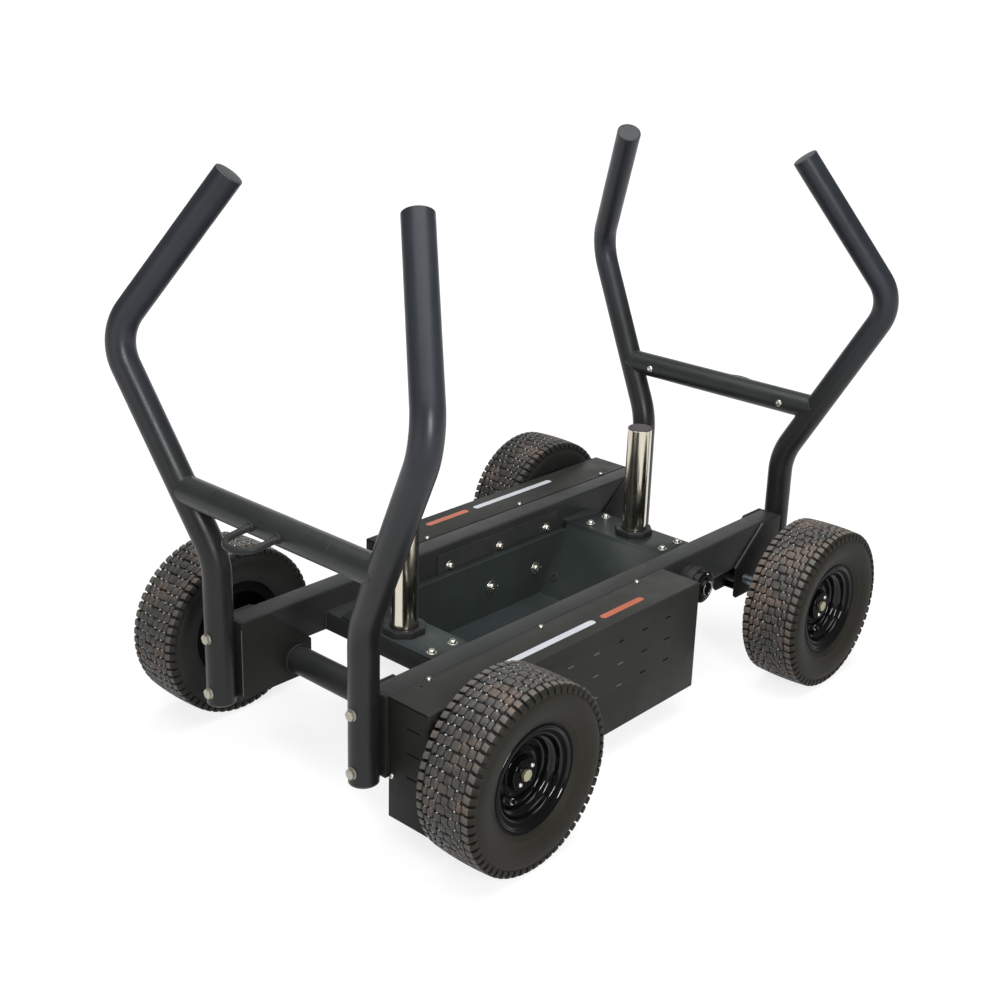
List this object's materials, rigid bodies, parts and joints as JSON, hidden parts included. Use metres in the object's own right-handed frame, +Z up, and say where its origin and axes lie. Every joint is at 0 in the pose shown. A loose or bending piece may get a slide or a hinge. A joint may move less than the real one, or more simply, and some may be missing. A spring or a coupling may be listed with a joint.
{
  "type": "weight sled",
  "caption": "Four-wheeled push sled with bent push handles at both ends, a weight tray, chrome plate posts and belt-driven magnetic brakes in side boxes",
  "frame": {"origin": "on the floor, at the middle of the outline", "axes": "+X to the front end, along the direction of travel; +Y to the left side; +Z up"},
  "size_m": [1.424, 0.871, 1.0549],
  "materials": {
    "frame_coat": "satin black powder coat",
    "tray_coat": "satin black powder coat, slightly bluish",
    "cover_coat": "semi-gloss black powder coat",
    "rim_gloss": "gloss black",
    "post_chrome": "polished chrome",
    "zinc_steel": "zinc plated steel",
    "bare_steel": "machined steel",
    "tyre_rubber": "matt rubber, dusty",
    "belt_rubber": "matt rubber",
    "black_plastic": "moulded, fine grain",
    "dial_gloss": "gloss black"
  },
  "bodies": {
    "frame": {"handle_rear_left": "frame_coat", "handle_rear_right": "frame_coat", "handle_front_left": "frame_coat", "handle_front_right": "frame_coat", "crossbar_rear": "frame_coat", "crossbar_front": "frame_coat", "tow_ring_rear": "frame_coat", "tow_ring_front": "frame_coat", "rail_left": "frame_coat", "rail_right": "frame_coat", "bracket_rear_left": "frame_coat", "bracket_rear_right": "frame_coat", "bracket_front_left": "frame_coat", "bracket_front_right": "frame_coat", "axle_tube_rear": "frame_coat", "axle_tube_front": "frame_coat", "cross_member_rear": "frame_coat", "cross_member_front": "frame_coat", "tray_strip_left": "frame_coat", "tray_strip_right": "frame_coat", "weight_post_rear": "post_chrome", "weight_post_front": "post_chrome", "post_cap_rear": "black_plastic", "post_cap_front": "black_plastic", "post_collar_rear": "black_plastic", "post_collar_front": "black_plastic", "dial_housing_left": "black_plastic", "dial_housing_right": "black_plastic", "weight_tray": "tray_coat", "drive_box_left": "frame_coat", "drive_cover_left": "cover_coat", "axle_bearing_left": "bare_steel", "brake_bearing_left": "bare_steel", "drive_belt_left": "belt_rubber", "drive_box_right": "frame_coat", "drive_cover_right": "cover_coat", "axle_bearing_right": "bare_steel", "brake_bearing_right": "bare_steel", "drive_belt_right": "belt_rubber", "free_axle_front_right": "zinc_steel", "free_axle_rear_left": "zinc_steel"},
    "wheel_rear_right": {"tyre_rear_right": "tyre_rubber", "rim_rear_right": "rim_gloss", "drive_axle_right": "zinc_steel", "drive_pulley_right": "bare_steel"},
    "wheel_front_left": {"tyre_front_left": "tyre_rubber", "rim_front_left": "rim_gloss", "drive_axle_left": "zinc_steel", "drive_pulley_left": "bare_steel"},
    "wheel_front_right": {"tyre_front_right": "tyre_rubber", "rim_front_right": "rim_gloss"},
    "wheel_rear_left": {"tyre_rear_left": "tyre_rubber", "rim_rear_left": "rim_gloss"},
    "brake_right": {"brake_rotor_right": "bare_steel"},
    "brake_left": {"brake_rotor_left": "bare_steel"},
    "magnets_right": {"magnet_carrier_right": "bare_steel"},
    "magnets_left": {"magnet_carrier_left": "bare_steel"},
    "selector_right": {"dial_right": "dial_gloss"},
    "selector_left": {"dial_left": "dial_gloss"}
  },
  "joints": [
    {"name": "wheel_spin_rear_right", "type": "hinge", "parent": "frame", "child": "wheel_rear_right", "pos_m": [-0.449, -0.374, 0.165], "axis": [0, 1, 0], "continuous": true},
    {"name": "wheel_spin_front_left", "type": "hinge", "parent": "frame", "child": "wheel_front_left", "pos_m": [0.449, 0.374, 0.165], "axis": [0, 1, 0], "continuous": true},
    {"name": "wheel_spin_front_right", "type": "hinge", "parent": "frame", "child": "wheel_front_right", "pos_m": [0.449, -0.374, 0.165], "axis": [0, 1, 0], "continuous": true},
    {"name": "wheel_spin_rear_left", "type": "hinge", "parent": "frame", "child": "wheel_rear_left", "pos_m": [-0.449, 0.374, 0.165], "axis": [0, 1, 0], "continuous": true},
    {"name": "brake_spin_right", "type": "hinge", "parent": "frame", "child": "brake_right", "pos_m": [-0.095, -0.25, 0.165], "axis": [0, 1, 0], "continuous": true},
    {"name": "magnet_slide_right", "type": "slide", "parent": "frame", "child": "magnets_right", "axis": [-1, 0, 0], "range_m": [0, 0.012]},
    {"name": "dial_turn_right", "type": "hinge", "parent": "frame", "child": "selector_right", "pos_m": [0.2415, -0.245, 0.2228], "axis": [0, -1, 0], "range_deg": [0, 120]},
    {"name": "brake_spin_left", "type": "hinge", "parent": "frame", "child": "brake_left", "pos_m": [0.095, 0.25, 0.165], "axis": [0, 1, 0], "continuous": true},
    {"name": "magnet_slide_left", "type": "slide", "parent": "frame", "child": "magnets_left", "axis": [1, 0, 0], "range_m": [0, 0.012]},
    {"name": "dial_turn_left", "type": "hinge", "parent": "frame", "child": "selector_left", "pos_m": [-0.2415, 0.245, 0.2228], "axis": [0, 1, 0], "range_deg": [0, 120]}
  ],
  "couplings": [
    {"joint": "brake_spin_right", "follows": "wheel_spin_rear_right", "ratio": 4},
    {"joint": "brake_spin_left", "follows": "wheel_spin_front_left", "ratio": 4},
    {"joint": "dial_turn_right", "follows": "magnet_slide_right", "rad_per_m": 174.53},
    {"joint": "dial_turn_left", "follows": "magnet_slide_left", "rad_per_m": 174.53}
  ]
}
